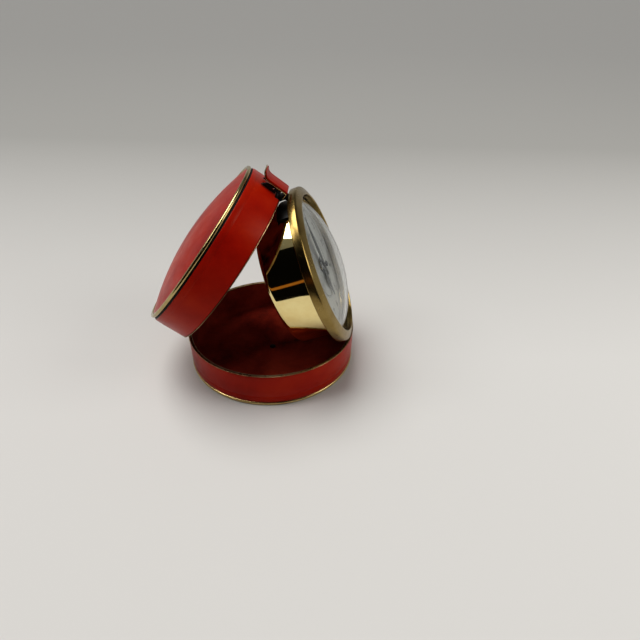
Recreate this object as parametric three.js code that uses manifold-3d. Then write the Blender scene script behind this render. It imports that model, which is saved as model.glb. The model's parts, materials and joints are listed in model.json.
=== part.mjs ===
// A round folding travel alarm clock: a leather-covered base tray, a domed lid hinged to it, and a brass
// wind-up alarm clock hinged inside the lid. The lid stands open and the clock leans from it onto the base rim.
// Millimetres, +Z up. The origin is the centre of the base's resting face, the dial looks towards +X,
// and the case hinge runs along Y on the -X side.
import * as THREE from "three";
import { mergeVertices } from "three/addons/utils/BufferGeometryUtils.js";
import Module from "manifold-3d";

const wasm = await Module();
wasm.setup();

// ---------- driving dimensions ----------
const gap = 0.05; // between neighbouring pieces that touch on the real clock
const caseRadius = 35; // over the leather
const leather = 0.6; // thickness of the leather covering
const shellWall = 0.4; // pressed metal shells
const lining = 0.3; // cloth lining
const baseHeight = 15; // base rim above the table
const lidDepth = 13; // lid rim to the underside of its dome ring
const domeRise = 5; // how far the leather dome stands above its ring
const trimHeight = 0.3; // brass edging on both rims
const trimProud = 0.15; // how far the edging stands out from the leather
const footHeight = 1.55; // brass ring under the base
const rimGap = 0.1; // between the two rims when the case is shut

const lidAngle = 53.2; // degrees between the two rims as it stands
const hingeOffset = 2; // case hinge axis outside the leather
const clockPivotInset = 2; // clock hinge axis inside the lid's outer radius
const clockPivotDepth = 1; // clock hinge axis behind the lid's rim plane
const restDepth = 1.3; // where the base rim meets the bezel's side, behind its front plane
const restGap = 0.15; // between the bezel's side and the rim it leans on

const bezelInset = 3.5; // bezel's radius inside the leather's
const bezelDepth = 3.45;
const bezelWidth = 4.2; // bezel's radius outside the cup's
const lipRise = 1.1; // bezel's inner lip above its front plane
const lipOutside = 0.5; // lip's radius outside the cup's
const cupWall = 0.7;
const cupDepth = 18.9; // bezel front to the back of the cup
const pivotBehind = 7.75; // clock hinge axis behind the bezel's front plane
const glassRise = 5.7; // top of the domed glass above the bezel's front plane
const glassThick = 0.9;
const dialLow = -3.4; // every height in the clock counts from the bezel's front plane
const dialThick = 0.4;
const plateHeights = [-14.6, -5.6]; // back face of the back plate, front face of the front plate
const keySpan = { time: 7, alarm: 5.2 }; // half length of each winding key's wings
const keyDepth = 3.3; // how far the winding keys stand out behind the cup
const plateThick = 1;
const barrelModule = 0.42; // tooth modules
const centreModule = 0.36;
const escapeModule = 0.32;
const motionModule = 0.3;
const setModule = 0.4;

const round = 32; // facets on the large turned pieces
const small = 8; // facets on pins, arbors and holes

// ---------- sizes that follow ----------
const shellRadius = caseRadius - leather - gap;
const liningRadius = shellRadius - shellWall - gap;
const insideRadius = liningRadius - lining;
const hingeX = caseRadius + hingeOffset;
const bezelRadius = caseRadius - bezelInset;
const cupRadius = bezelRadius - bezelWidth;
const radians = THREE.MathUtils.degToRad;

// The clock leans from its hinge in the lid until the bezel's side meets the base's inner rim edge.
function leaningClock() {
  const out = caseRadius - clockPivotInset + hingeX;
  const [c, s] = [Math.cos(radians(lidAngle)), Math.sin(radians(lidAngle))];
  const up = clockPivotDepth + rimGap;
  const pivot = { x: -hingeX + out * c - up * s, z: baseHeight + out * s + up * c };
  const across = insideRadius - pivot.x;
  const drop = pivot.z - baseHeight;
  const reach = Math.hypot(across, drop);
  const behind = pivotBehind - restDepth;
  return {
    pivot,
    above: Math.sqrt(reach ** 2 - behind ** 2) - bezelRadius - restGap,
    turn: Math.atan2(drop, across) + Math.asin(behind / reach),
  };
}
const lean = leaningClock();
const pivotAbove = lean.above;

// ---------- solids ----------
function solid(geometry) {
  const plain = geometry.index ? geometry.toNonIndexed() : geometry;
  const bare = new THREE.BufferGeometry().setAttribute("position", plain.getAttribute("position"));
  const merged = mergeVertices(bare, 1e-4);
  return new wasm.Manifold(
    new wasm.Mesh({
      numProp: 3,
      vertProperties: merged.attributes.position.array,
      triVerts: new Uint32Array(merged.index.array),
    }),
  );
}

function geometry(made) {
  const mesh = made.getMesh();
  return new THREE.BufferGeometry()
    .setAttribute("position", new THREE.BufferAttribute(new Float32Array(mesh.vertProperties), 3))
    .setIndex(new THREE.BufferAttribute(new Uint32Array(mesh.triVerts), 1));
}

// A closed [radius, height] outline turned about Z.
function turned(outline, facets = round) {
  const area = outline.reduce((sum, [r, z], i) => {
    const [r2, z2] = outline[(i + 1) % outline.length];
    return sum + r * z2 - r2 * z;
  }, 0);
  const ordered = area > 0 ? outline : [...outline].reverse();
  const first = ordered.findIndex(([r], i) => r === 0 && ordered.at(i - 1)[0] === 0);
  const path = first < 0 ? [...ordered, ordered[0]] : [...ordered.slice(first), ...ordered.slice(0, first)];
  const shape = new THREE.LatheGeometry(path.map(([r, z]) => new THREE.Vector2(r, z)), facets);
  return solid(shape.rotateX(Math.PI / 2));
}

function tube(outer, inner, low, high, facets = round) {
  return turned([[inner, low], [outer, low], [outer, high], [inner, high]], facets);
}

// A cylinder along Z.
function rod(radius, low, high, x = 0, y = 0, facets = small) {
  const shape = new THREE.CylinderGeometry(radius, radius, high - low, facets);
  return solid(shape.rotateX(Math.PI / 2).translate(x, y, (low + high) / 2));
}

// A cylinder along Y.
function barAlongY(radius, low, high, x, z, facets = small) {
  const shape = new THREE.CylinderGeometry(radius, radius, high - low, facets);
  return solid(shape.translate(x, (low + high) / 2, z));
}

function block(x0, x1, y0, y1, z0, z1) {
  const shape = new THREE.BoxGeometry(x1 - x0, y1 - y0, z1 - z0);
  return solid(shape.translate((x0 + x1) / 2, (y0 + y1) / 2, (z0 + z1) / 2));
}

function join(first, ...others) {
  return others.reduce((sum, next) => sum.add(next), first);
}

function cut(first, ...others) {
  return others.reduce((rest, next) => rest.subtract(next), first);
}

// A flat outline of [x, y] points raised from low to high.
function raised(points, low, high) {
  const shape = new THREE.Shape(points.map(([x, y]) => new THREE.Vector2(x, y)));
  const options = { depth: high - low, bevelEnabled: false, steps: 1 };
  return solid(new THREE.ExtrudeGeometry(shape, options).translate(0, 0, low));
}

const polar = (radius, degrees, x = 0, y = 0) =>
  [x + radius * Math.cos(radians(degrees)), y + radius * Math.sin(radians(degrees))];

// A toothed wheel: a tooth is centred on the angle given.
function gear(teeth, module, low, high, x, y, toothAt = 0) {
  const pitch = (module * teeth) / 2;
  const step = 360 / teeth;
  const profile = [[-0.3, -1.05], [-0.11, 0.75], [0.11, 0.75], [0.3, -1.05]];
  const points = [...Array(teeth).keys()].flatMap((i) =>
    profile.map(([share, height]) => polar(pitch + height * module, toothAt + (i + share) * step, x, y)));
  return raised(points, low, high);
}

// The angle to give a gear so that it meshes with a neighbour that has a tooth on their line of centres.
const meshing = (teeth, lineAngle) => lineAngle + 180 + 180 / teeth;

// A flat spiral ribbon about (x, y).
function spiral(inner, outer, turns, thick, low, high, x, y) {
  const steps = Math.round(turns * 10);
  const edge = (shift) => [...Array(steps + 1).keys()].map((i) =>
    polar(inner + shift + ((outer - inner) * i) / steps, (i / steps) * turns * 360, x, y));
  return raised([...edge(0), ...edge(thick).reverse()].reverse(), low, high);
}

// A straight bar between two points, flat on its two faces.
function bar([x0, y0], [x1, y1], width, low, high) {
  const length = Math.hypot(x1 - x0, y1 - y0);
  const shape = new THREE.BoxGeometry(length, width, high - low)
    .rotateZ(Math.atan2(y1 - y0, x1 - x0))
    .translate((x0 + x1) / 2, (y0 + y1) / 2, (low + high) / 2);
  return solid(shape);
}

// Turns an outline of [height, distance out], raised along Z, to lie across the lid.
const sideways = [0, 0, 1, 0, 1, 0, 0, 0, 0, 1, 0, 0, 0, 0, 0, 1];

// ---------- materials ----------
const finishes = {
  redLeather: { color: 0xa5170b, roughness: 0.42, metalness: 0 },
  lining: { color: 0x5a1512, roughness: 0.95, metalness: 0 },
  brass: { color: 0xc9a24a, roughness: 0.22, metalness: 1 },
  agedBrass: { color: 0xa98a45, roughness: 0.4, metalness: 1 },
  shellMetal: { color: 0x8d7a4e, roughness: 0.5, metalness: 1 },
  blackSteel: { color: 0x17171a, roughness: 0.5, metalness: 0.8 },
  steel: { color: 0xb9bcc0, roughness: 0.28, metalness: 1 },
  dialWhite: { color: 0xe9e8e2, roughness: 0.6, metalness: 0 },
  glass: { color: 0xf4f8f8, roughness: 0.04, metalness: 0 },
  handBlack: { color: 0x101010, roughness: 0.4, metalness: 0.2 },
};
const materials = Object.fromEntries(
  Object.entries(finishes).map(([name, look]) => [name, new THREE.MeshStandardMaterial(look)]),
);
materials.glass.transparent = true;
materials.glass.opacity = 0.3;

function piece(parent, name, made, finish) {
  const mesh = new THREE.Mesh(geometry(made), materials[finish]);
  mesh.name = name;
  parent.add(mesh);
  return mesh;
}

// ---------- base ----------
function buildBase(group) {
  const wallTop = baseHeight - trimHeight - gap;
  const wallLow = footHeight + gap;
  const footRadius = caseRadius + 0.25;
  const panelRadius = caseRadius - 2;
  const floor = wallLow + shellWall;

  piece(group, "base_foot_ring", turned([
    [panelRadius + gap, 0.3], [panelRadius + 0.35, 0], [footRadius - 0.45, 0], [footRadius, 0.45],
    [footRadius, footHeight - 0.45], [footRadius - 0.45, footHeight], [panelRadius + gap, footHeight],
  ]), "brass");
  piece(group, "base_bottom_panel", turned([
    [0, 0], [panelRadius, 0], [panelRadius, footHeight], [0, footHeight],
  ]), "redLeather");
  piece(group, "base_shell", turned([
    [0, wallLow], [shellRadius, wallLow], [shellRadius, wallTop], [shellRadius - shellWall, wallTop],
    [shellRadius - shellWall, floor], [0, floor],
  ]), "shellMetal");
  piece(group, "base_leather_band", tube(caseRadius, shellRadius + gap, wallLow, wallTop), "redLeather");
  piece(group, "base_lining", turned([
    [0, floor + gap], [liningRadius, floor + gap], [liningRadius, wallTop], [insideRadius, wallTop],
    [insideRadius, floor + gap + lining], [0, floor + gap + lining],
  ]), "lining");
  piece(group, "base_rim_trim",
    tube(caseRadius + trimProud, insideRadius, baseHeight - trimHeight, baseHeight), "brass");
}

// ---------- case hinge ----------
const knuckleRadius = 1.3;
const hingePinRadius = 0.5;
const hingeHalfLength = 7;
const knuckleSplit = 2.8; // half length of the lid's middle knuckle
const knucklePlay = 0.2;
const leafThick = 0.5;
const leafDrop = 5.5; // how far each leaf runs down its wall

// A leaf that hugs the wall below a trimmed rim, with its knuckles on the axis at (-hingeX, 0).
function hingeLeaf(spans, rim) {
  const inner = caseRadius + gap;
  const top = rim - trimHeight - gap;
  const leaf = tube(inner + leafThick, inner, top - leafDrop, top)
    .intersect(block(-2 * inner, 0, -hingeHalfLength, hingeHalfLength, -2 * leafDrop, 0));
  const knuckles = spans.map(([low, high]) => join(
    barAlongY(knuckleRadius, low, high, -hingeX, 0),
    block(-hingeX - 0.5, -inner, low, high, -knuckleRadius - 0.3, top - 0.15),
  ));
  const wall = rod(inner, -2 * leafDrop, top, 0, 0, round);
  const bore = barAlongY(hingePinRadius + gap, -2 * hingeHalfLength, 2 * hingeHalfLength, -hingeX, 0);
  return cut(join(leaf, ...knuckles), wall, bore);
}

function buildCaseHinge(base, lid) {
  const outer = [[-hingeHalfLength, -knuckleSplit - knucklePlay], [knuckleSplit + knucklePlay, hingeHalfLength]];
  const middle = [[-knuckleSplit, knuckleSplit]];
  piece(base, "case_hinge_base_leaf", hingeLeaf(outer, 0), "brass").position.z = baseHeight;
  piece(base, "case_hinge_pin",
    barAlongY(hingePinRadius, -hingeHalfLength - 0.4, hingeHalfLength + 0.4, -hingeX, baseHeight), "brass");
  const lidLeaf = piece(lid, "case_hinge_lid_leaf", hingeLeaf(middle, -rimGap), "brass");
  lidLeaf.rotation.x = Math.PI; // the lid's rim faces the other way
  lidLeaf.position.z = -rimGap;
}

// ---------- lid, modelled from its rim plane with +Z into the dome ----------
const notchHalf = 4.7; // half width of the notch that the clock hinge passes through
const notchDepth = 2.3;
const domeHeight = (radius, edge) => domeRise * (1 - (radius / edge) ** 2);

function domeCap(edge, low, thick, steps) {
  const under = [...Array(steps + 1).keys()].map((i) => {
    const r = (edge * i) / steps;
    return [r, low + domeHeight(r, edge)];
  });
  const over = under.map(([r, z]) => [r, z + thick]).reverse();
  return [...under, ...over];
}

function buildLid(group) {
  const wallLow = trimHeight + gap;
  const ringIn = caseRadius - 2.3;
  const ringOut = caseRadius - 0.3;
  const shellDome = domeCap(shellRadius - shellWall, lidDepth, shellWall, 3);
  const notch = block(insideRadius - 2, caseRadius + 2, -notchHalf, notchHalf, -1, notchDepth);
  const half = shellDome.length / 2;

  piece(group, "lid_rim_trim",
    cut(tube(caseRadius + trimProud, insideRadius, 0, trimHeight), notch), "brass");
  piece(group, "lid_leather_band",
    cut(tube(caseRadius, shellRadius + gap, wallLow, lidDepth - gap), notch), "redLeather");
  const seam = lidDepth - 0.4; // where the dome plate sits on the wall
  piece(group, "lid_shell",
    cut(tube(shellRadius, shellRadius - shellWall, wallLow, seam - gap), notch), "shellMetal");
  piece(group, "lid_dome_plate", turned([
    ...shellDome.slice(0, half), [shellRadius - shellWall, seam], [shellRadius, seam],
    [shellRadius, lidDepth - gap], [ringIn - 0.1, lidDepth + shellWall + 0.35], ...shellDome.slice(half + 1),
  ]), "shellMetal");

  const capEdge = insideRadius;
  const inside = domeCap(capEdge, lidDepth - gap - lining - 0.15, lining, 3);
  piece(group, "lid_lining", cut(turned([
    ...inside.slice(0, inside.length / 2), [insideRadius, wallLow], [liningRadius, wallLow],
    [liningRadius, lidDepth - 0.35], ...inside.slice(inside.length / 2 + 1),
  ]), notch), "lining");

  piece(group, "lid_dome_ring", turned([
    [ringIn + 0.5, lidDepth + 1], [ringIn + 1.3, lidDepth + 0.3], [ringOut - 0.4, lidDepth + 0.2],
    [ringOut, lidDepth + 0.55], [ringOut, lidDepth + 1.2], [ringOut - 0.5, lidDepth + 1.8],
    [ringIn + 0.7, lidDepth + 1.9], [ringIn + 0.1, lidDepth + 1.5],
  ]), "brass");
  const panelLow = lidDepth + shellWall + 0.6;
  piece(group, "lid_dome_panel", turned(domeCap(ringIn - gap, panelLow, leather, 4)), "redLeather");
}

// ---------- latch on the lid's front ----------
const latchHalf = 3.5;
const latchPinRadius = 0.35;
const latchSlot = 2.4; // half width of the slot in the hook that clears the clock's arm
const latchPivot = { x: caseRadius + 1.4, z: 4.2 };
const tabIn = caseRadius + 2.3; // inner face of the tab's plate
const tabPlate = 0.4;
const hookZ = -0.8; // end past the rim
const lipZ = 9.6; // end near the dome ring

function buildLatch(lid, tab) {
  const across = (outline, low, high) => raised(outline, low, high).transform(sideways);
  const earIn = latchHalf - 0.9;
  const lugOut = earIn - 0.1;
  const wall = caseRadius + gap;
  const bore = barAlongY(latchPinRadius + gap, -latchHalf, latchHalf, latchPivot.x, latchPivot.z);
  const ear = (low, high) =>
    block(wall, latchPivot.x + 0.75, low, high, latchPivot.z - 0.9, latchPivot.z + 0.9);
  piece(lid, "latch_bracket", cut(join(
    block(wall, wall + 0.4, -latchHalf + 0.3, latchHalf - 0.3, notchDepth + 0.4, 9),
    ear(earIn, latchHalf - 0.3), ear(-latchHalf + 0.3, -earIn),
  ), bore), "blackSteel");
  piece(lid, "latch_pin", barAlongY(latchPinRadius, -latchHalf + 0.25, latchHalf - 0.25,
    latchPivot.x, latchPivot.z), "steel");
  const springFoot = wall + 0.45;
  piece(lid, "latch_spring", across([
    [5.7, springFoot], [8.7, springFoot], [8.7, springFoot + 0.2], [6.3, springFoot + 0.2],
    [8.4, springFoot + 0.7], [8.3, springFoot + 0.9], [5.7, springFoot + 0.3],
  ], -1.5, 1.5), "blackSteel");

  const plate = across([
    [hookZ, tabIn + tabPlate], [hookZ, caseRadius + trimProud], [hookZ + 0.28, caseRadius + trimProud],
    [hookZ + 0.28, tabIn], [lipZ - 1.6, tabIn], [lipZ - 0.2, tabIn + 0.7], [lipZ + 0.7, tabIn + 2.3],
    [lipZ + 0.4, tabIn + 2.5], [lipZ - 0.6, tabIn + 1], [lipZ - 1.8, tabIn + tabPlate],
  ], -latchHalf, latchHalf);
  const slot = block(caseRadius, tabIn, -latchSlot, latchSlot, hookZ - 1, hookZ + 1);
  const lug = (low, high) =>
    block(latchPivot.x - 0.7, tabIn + 0.1, low, high, latchPivot.z - 0.7, latchPivot.z + 0.7);
  piece(tab, "latch_plate", cut(
    join(plate, lug(lugOut - 0.6, lugOut), lug(-lugOut, -lugOut + 0.6)), slot, bore), "agedBrass");
  piece(tab, "latch_leather", across([
    [hookZ, tabIn + tabPlate + gap], [lipZ - 1.85, tabIn + tabPlate + gap], [lipZ - 0.75, tabIn + 1.1],
    [lipZ - 0.1, tabIn + 2.1], [lipZ - 0.7, tabIn + 2.2], [lipZ - 2.2, tabIn + 1.25],
    [hookZ + 0.6, tabIn + 1.25], [hookZ, tabIn + 0.95],
  ], -latchHalf + 0.1, latchHalf - 0.1), "redLeather");
}

// ---------- hinge between the lid and the clock ----------
const clockKnuckle = 1.1;
const clockPinRadius = 0.45;
const armHalf = 2.1; // half width of the clock's arm
const bracketHalf = 4.2;
const saddle = { thick: 0.8, half: 9, deep: 5.5 }; // the leaf that sits on top of the cup

function buildClockHinge(lid, clock) {
  const x = caseRadius - clockPivotInset;
  const z = clockPivotDepth;
  const plateOut = Math.sqrt(insideRadius ** 2 - bracketHalf ** 2) - 4 * gap;
  const bore = barAlongY(clockPinRadius + gap, -bracketHalf - 1, bracketHalf + 1, x, z);
  const side = (low, high) => join(
    barAlongY(clockKnuckle, low, high, x, z), block(x - 0.6, plateOut, low, high, z, z + 3));
  piece(lid, "clock_hinge_bracket", cut(join(
    side(armHalf + 0.2, bracketHalf), side(-bracketHalf, -armHalf - 0.2),
    block(plateOut - 0.6, plateOut, -bracketHalf, bracketHalf, z + clockKnuckle + 0.35, z + 7),
  ), bore), "blackSteel");
  piece(lid, "clock_hinge_pin",
    barAlongY(clockPinRadius, -bracketHalf - 0.3, bracketHalf + 0.3, x, z), "steel");

  const back = -bezelDepth - gap;
  const knuckle = new THREE.CylinderGeometry(clockKnuckle, clockKnuckle, 2 * armHalf, small)
    .rotateZ(Math.PI / 2).translate(0, pivotAbove, -pivotBehind);
  const hole = new THREE.CylinderGeometry(clockPinRadius + gap, clockPinRadius + gap, 9, small)
    .rotateZ(Math.PI / 2).translate(0, pivotAbove, -pivotBehind);
  piece(clock, "clock_hinge_arm", cut(join(
    solid(knuckle),
    block(-armHalf, armHalf, pivotAbove - 1.3, pivotAbove + 0.4, -pivotBehind, back),
    block(-armHalf, armHalf, cupRadius + saddle.thick + 2 * gap, pivotAbove + 0.4, back - 0.6, back),
  ), solid(hole)), "blackSteel");
  piece(clock, "clock_hinge_saddle",
    tube(cupRadius + gap + saddle.thick, cupRadius + gap, back - saddle.deep, back)
      .intersect(block(-saddle.half, saddle.half, 0, 2 * cupRadius, back - saddle.deep, back)), "blackSteel");
}

// ---------- clock, modelled with X to the dial's right, Y up and Z out of the dial ----------
const plateRadius = cupRadius - 3.3;
const backTop = plateHeights[0] + plateThick;
const frontLow = plateHeights[1] - plateThick;
const cupBack = -cupDepth;
const cupInside = cupBack + cupWall;
const arborEnds = [plateHeights[0] + 0.2, plateHeights[1] - 0.2];
const setPinionAngle = 20;
const barrelAngle = 200;
const centreTeeth = 40;
const leafTeeth = 8;
const thirdTeeth = 36;
const escapeLeaves = 6;
const barrelTeeth = 40;
const alarmTeeth = 36;
const setTeeth = 30;
const setLeaves = 10;
const spacing = (module, a, b) => (module * (a + b)) / 2;
const places = {};
places.time = polar(spacing(barrelModule, barrelTeeth, leafTeeth), barrelAngle);
places.third = polar(spacing(centreModule, centreTeeth, leafTeeth), 90);
places.escape = polar(spacing(escapeModule, thirdTeeth, escapeLeaves), 0, ...places.third);
places.pallet = polar(4.2, 0, ...places.escape);
places.balance = polar(4.9, -24, ...places.pallet);
places.alarm = [10.4, -7.3];
places.verge = polar(spacing(barrelModule, alarmTeeth, leafTeeth), 60, ...places.alarm);
places.hammer = [19, -4.5];
places.minute = polar(6, 180);
places.set = polar(spacing(setModule, setTeeth, setLeaves), setPinionAngle);
places.stop = [0, -18];
const arborRadius = {
  time: 0.8, alarm: 0.8, third: 0.4, escape: 0.35, pallet: 0.35, balance: 0.3, verge: 0.35, hammer: 0.4, set: 0.5,
};
const centreArbor = 0.55;
const stopRadius = 1.25;
const pillarPlaces = [[0, 22], [-19, -11.5], [13, -18.5]];
const pillarRadius = 1.3;
const level = { cannon: [-5.4, -4.75], hour: [-4.65, -4.15], alarm: [-4, -3.6] }; // motion work

function buildClockCase(group) {
  const lip = cupRadius + lipOutside;
  const bore = lip + 1;
  const r = bezelRadius;
  piece(group, "bezel", turned([
    [bore, -bezelDepth], [r, -bezelDepth], [r, -1], [r - 0.3, -0.35], [r - 0.8, 0], [lip + 1, lipRise - 0.2],
    [lip + 0.5, lipRise], [lip + 0.1, lipRise - 0.1], [lip, lipRise - 0.4], [lip, -2.25], [bore, -2.25],
  ]), "brass");

  const edge = lip - 0.3;
  const steps = 4;
  const dome = (radius, low, top) => [...Array(steps + 1).keys()].map((i) => {
    const at = (radius * (steps - i)) / steps;
    return [at, low + (top - low) * (1 - (at / radius) ** 2)];
  });
  piece(group, "crystal", turned([
    [bore - 0.3, -2.9], [bore - 0.3, -2.35], [edge, -2.35], ...dome(edge, -1.5, glassRise),
    ...dome(edge - glassThick, -2.4, glassRise - glassThick).reverse(), [edge - glassThick, -2.9],
  ]), "glass");
  piece(group, "dial", tube(bore - 0.2, 2.75, dialLow, dialLow + dialThick), "dialWhite");

  const cup = turned([
    [0, -cupDepth], [cupRadius - 2.5, -cupDepth], [cupRadius - 1, -cupDepth + 0.4], [cupRadius, -cupDepth + 1.5],
    [cupRadius, -bezelDepth - gap], [cupRadius - cupWall, -bezelDepth - gap],
    [cupRadius - cupWall, -cupDepth + 1.7], [cupRadius - 1.9, cupInside], [0, cupInside],
  ]);
  const through = [cupBack - 1, cupInside + 1];
  const openings = [
    ...["time", "alarm", "set"].map((name) => rod(arborRadius[name] + 0.2, ...through, ...places[name])),
    rod(centreArbor + 0.2, ...through),
    rod(stopRadius + 0.15, ...through, ...places.stop),
    raised([polar(2.6, -60), polar(4.3, -60), polar(4.3, -30), polar(4.3, 0), polar(4.3, 30), polar(4.3, 60),
      polar(2.6, 60), polar(2.6, 30), polar(2.6, 0), polar(2.6, -30)]
      .map(([a, b]) => [a + places.balance[0], b + places.balance[1]]), ...through),
  ];
  piece(group, "cup", cut(cup, ...openings), "brass");
}

function buildPlates(group) {
  const holes = (low, high, names) => names.map((name) =>
    rod(arborRadius[name] + 0.08, low, high, ...places[name]));
  const all = Object.keys(arborRadius);
  const pillars = pillarPlaces.map(([x, y]) => rod(pillarRadius, cupInside + gap, frontLow + 0.2, x, y));
  const stud = rod(0.4, frontLow + 0.3, level.alarm[0] - 0.1, ...places.minute);
  piece(group, "front_plate", join(cut(
    join(rod(plateRadius, frontLow, plateHeights[1], 0, 0, round), ...pillars),
    ...holes(frontLow - 0.5, 0, all), rod(centreArbor + 0.25, frontLow - 0.5, 0),
  ), stud), "agedBrass");
  piece(group, "back_plate", cut(
    rod(plateRadius, plateHeights[0], backTop, 0, 0, round),
    ...holes(-16, -12, all), rod(centreArbor + 0.1, -16, -12),
    ...pillarPlaces.map(([x, y]) => rod(pillarRadius + gap + 0.05, -16, -12, x, y)),
  ), "agedBrass");
}

const keyAngle = 16;

// One spring's barrel, its winding arbor and key. The key is drawn from the back of the cup.
function buildBarrel(group, name, teeth, drum, toothAt) {
  const [x, y] = places[name];
  const radius = arborRadius[name];
  const drumLow = -12.2;
  const wheel = [-7.6, -6.9];
  const shell = cut(
    join(
      rod(drum, drumLow, wheel[0] + 0.1, x, y, 24),
      gear(teeth, barrelModule, ...wheel, x, y, toothAt),
    ),
    rod(drum - 0.5, drumLow - 1, wheel[0] - 0.4, x, y, 24),
    rod(radius + 0.1, -14, -5, x, y),
  );
  piece(group, `${name}_barrel`, shell, "brass");
  piece(group, `${name}_mainspring`,
    spiral(radius + 0.5, drum - 1.2, 3.5, 0.3, drumLow + 0.1, wheel[0] - 0.6, x, y), "steel");
  const ratchet = [...Array(16).keys()].flatMap((i) =>
    [polar(3.2, i * 22.5, x, y), polar(3.9, i * 22.5 + 3, x, y)]);
  const arbor = join(
    rod(radius, cupBack - 2.1, arborEnds[1], x, y),
    raised(ratchet, -15.8, plateHeights[0] - 0.15),
  );
  piece(group, `${name}_winding_arbor`, arbor, "steel");
  const span = keySpan[name];
  const wings = raised([[1, -2.6], [2.4, -2.9], [span * 0.72, -keyDepth], [span * 0.93, -keyDepth + 0.3],
    [span, -keyDepth + 0.8], [span * 0.95, -1.7], [span * 0.75, -1.3], [1, -1.3]].reverse(), -0.45, 0.45)
    .rotate([90, 0, 0]);
  piece(group, `${name}_key`, cut(
    join(rod(1.9, -3.1, -0.3), wings.rotate([0, 0, keyAngle]), wings.rotate([0, 0, keyAngle + 180])),
    rod(radius + gap, -2.3, 0),
  ).translate([x, y, cupBack]), "brass");
}

function buildGoingTrain(group) {
  const centreWheel = cut(
    join(
      gear(leafTeeth, barrelModule, -12.8, -6.75, 0, 0, barrelAngle),
      gear(centreTeeth, centreModule, -13.2, -12.5, 0, 0, 90),
    ),
    rod(centreArbor + 0.08, -15, -5),
  );
  piece(group, "centre_wheel", centreWheel, "brass");
  buildBarrel(group, "time", barrelTeeth, 7.4, meshing(barrelTeeth, barrelAngle));
  const third = places.third;
  const thirdTooth = meshing(leafTeeth, 90);
  piece(group, "third_wheel", join(
    rod(arborRadius.third, ...arborEnds, ...third),
    gear(leafTeeth, centreModule, -13.3, -11.5, ...third, thirdTooth),
    gear(thirdTeeth, escapeModule, -11.9, -11.3, ...third, 0),
  ), "brass");
  const escape = places.escape;
  const teeth = [...Array(15).keys()].flatMap((i) =>
    [polar(2.3, i * 24, ...escape), polar(3.1, i * 24 + 7, ...escape), polar(2.4, i * 24 + 9, ...escape)]);
  piece(group, "escape_wheel", join(
    rod(arborRadius.escape, ...arborEnds, ...escape),
    gear(escapeLeaves, escapeModule, -12, -9.9, ...escape, meshing(escapeLeaves, 0)),
    raised(teeth, -10.4, -9.8),
  ), "brass");
  const pallet = places.pallet;
  const pin = (angle) => polar(3.55, angle, ...escape);
  const [upper, lower] = [pin(38), pin(-38)];
  piece(group, "pallet_lever", join(
    rod(arborRadius.pallet, ...arborEnds, ...pallet),
    rod(0.9, -9.5, -8.9, ...pallet),
    bar(pallet, upper, 0.6, -9.5, -8.9), bar(pallet, lower, 0.6, -9.5, -8.9),
    rod(0.25, -10.5, -9.1, ...upper), rod(0.25, -10.5, -9.1, ...lower),
    bar(pallet, polar(3.4, -24, ...pallet), 0.5, -9.5, -8.9),
  ), "steel");
  const balance = places.balance;
  piece(group, "balance_wheel", join(
    rod(arborRadius.balance, ...arborEnds, ...balance),
    cut(rod(4.2, -12.9, -12.1, ...balance, 24), rod(3.5, -14, -11, ...balance, 24)),
    bar(polar(3.8, 30, ...balance), polar(3.8, 210, ...balance), 0.7, -12.8, -12.2),
  ), "brass");
  piece(group, "hairspring", spiral(0.7, 2.7, 3.5, 0.12, -11.5, -11.1, ...balance), "steel");
  const regulatorPin = polar(3.45, 0, ...balance);
  piece(group, "regulator", cut(
    join(
      rod(1.2, -15.3, plateHeights[0] - 0.1, ...balance),
      bar(balance, regulatorPin, 0.7, -15.3, plateHeights[0] - 0.1),
      rod(0.35, cupBack - 0.7, -15, ...regulatorPin),
    ),
    rod(arborRadius.balance + 0.1, -17, -14, ...balance),
  ), "steel");
}

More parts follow.
